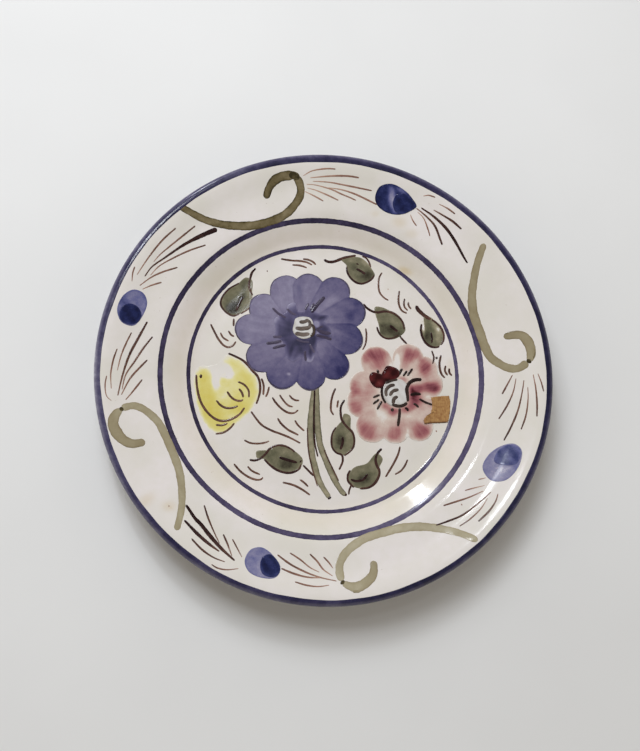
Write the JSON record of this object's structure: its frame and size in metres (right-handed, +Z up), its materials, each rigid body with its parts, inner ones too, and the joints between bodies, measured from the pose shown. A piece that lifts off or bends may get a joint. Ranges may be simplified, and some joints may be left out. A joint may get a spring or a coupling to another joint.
{
  "type": "hand painted ceramic plate",
  "caption": "Round ceramic plate on a foot ring, white glazed with a blue edge, painted with flowers in the well and scrolls, berries and sprigs on the rim.",
  "frame": {"origin": "centre of the foot ring's standing face", "axes": "+Z up out of the well, +Y to the top of the painting, +X to its right"},
  "size_m": [0.25, 0.25, 0.0232],
  "materials": {
    "bare_clay": null,
    "white_glaze": "glossy opaque warm white glaze",
    "edge_blue": "glossy dark blue glaze",
    "line_blue": "glossy dark blue violet enamel",
    "petal_blue": "glossy washed blue violet enamel",
    "eye_white": "glossy white enamel with dark strokes",
    "petal_red": "glossy washed red enamel",
    "petal_yellow": "glossy washed yellow enamel",
    "leaf_green": "glossy olive enamel with a dark outline",
    "scroll_olive": "glossy thin olive enamel",
    "berry_blue": "glossy dark blue enamel",
    "sprig_brown": "glossy dark brown enamel",
    "paper_tape": "matt brown paper tape"
  },
  "bodies": {
    "root": {"clay_body": "bare_clay", "face_glaze": "white_glaze", "back_glaze": "white_glaze", "foot_recess_glaze": "white_glaze", "edge_band": "edge_blue", "inner_line": "line_blue", "outer_line": "line_blue", "blue_flower": "petal_blue", "blue_flower_eye": "eye_white", "red_flower": "petal_red", "red_flower_eye": "eye_white", "yellow_flower": "petal_yellow", "stem_left": "leaf_green", "stem_right": "leaf_green", "leaf_1": "leaf_green", "leaf_2": "leaf_green", "leaf_3": "leaf_green", "leaf_4": "leaf_green", "leaf_5": "leaf_green", "leaf_6": "leaf_green", "leaf_7": "leaf_green", "scroll_1": "scroll_olive", "scroll_2": "scroll_olive", "scroll_3": "scroll_olive", "scroll_4": "scroll_olive", "berry_1": "berry_blue", "berry_2": "berry_blue", "berry_3": "berry_blue", "berry_4": "berry_blue", "sprig_1": "sprig_brown", "sprig_2": "sprig_brown", "sprig_3": "sprig_brown", "sprig_4": "sprig_brown", "sprig_5": "sprig_brown", "sprig_6": "sprig_brown", "sprig_7": "sprig_brown", "sprig_8": "sprig_brown", "tape_scrap": "paper_tape"}
  },
  "joints": []
}
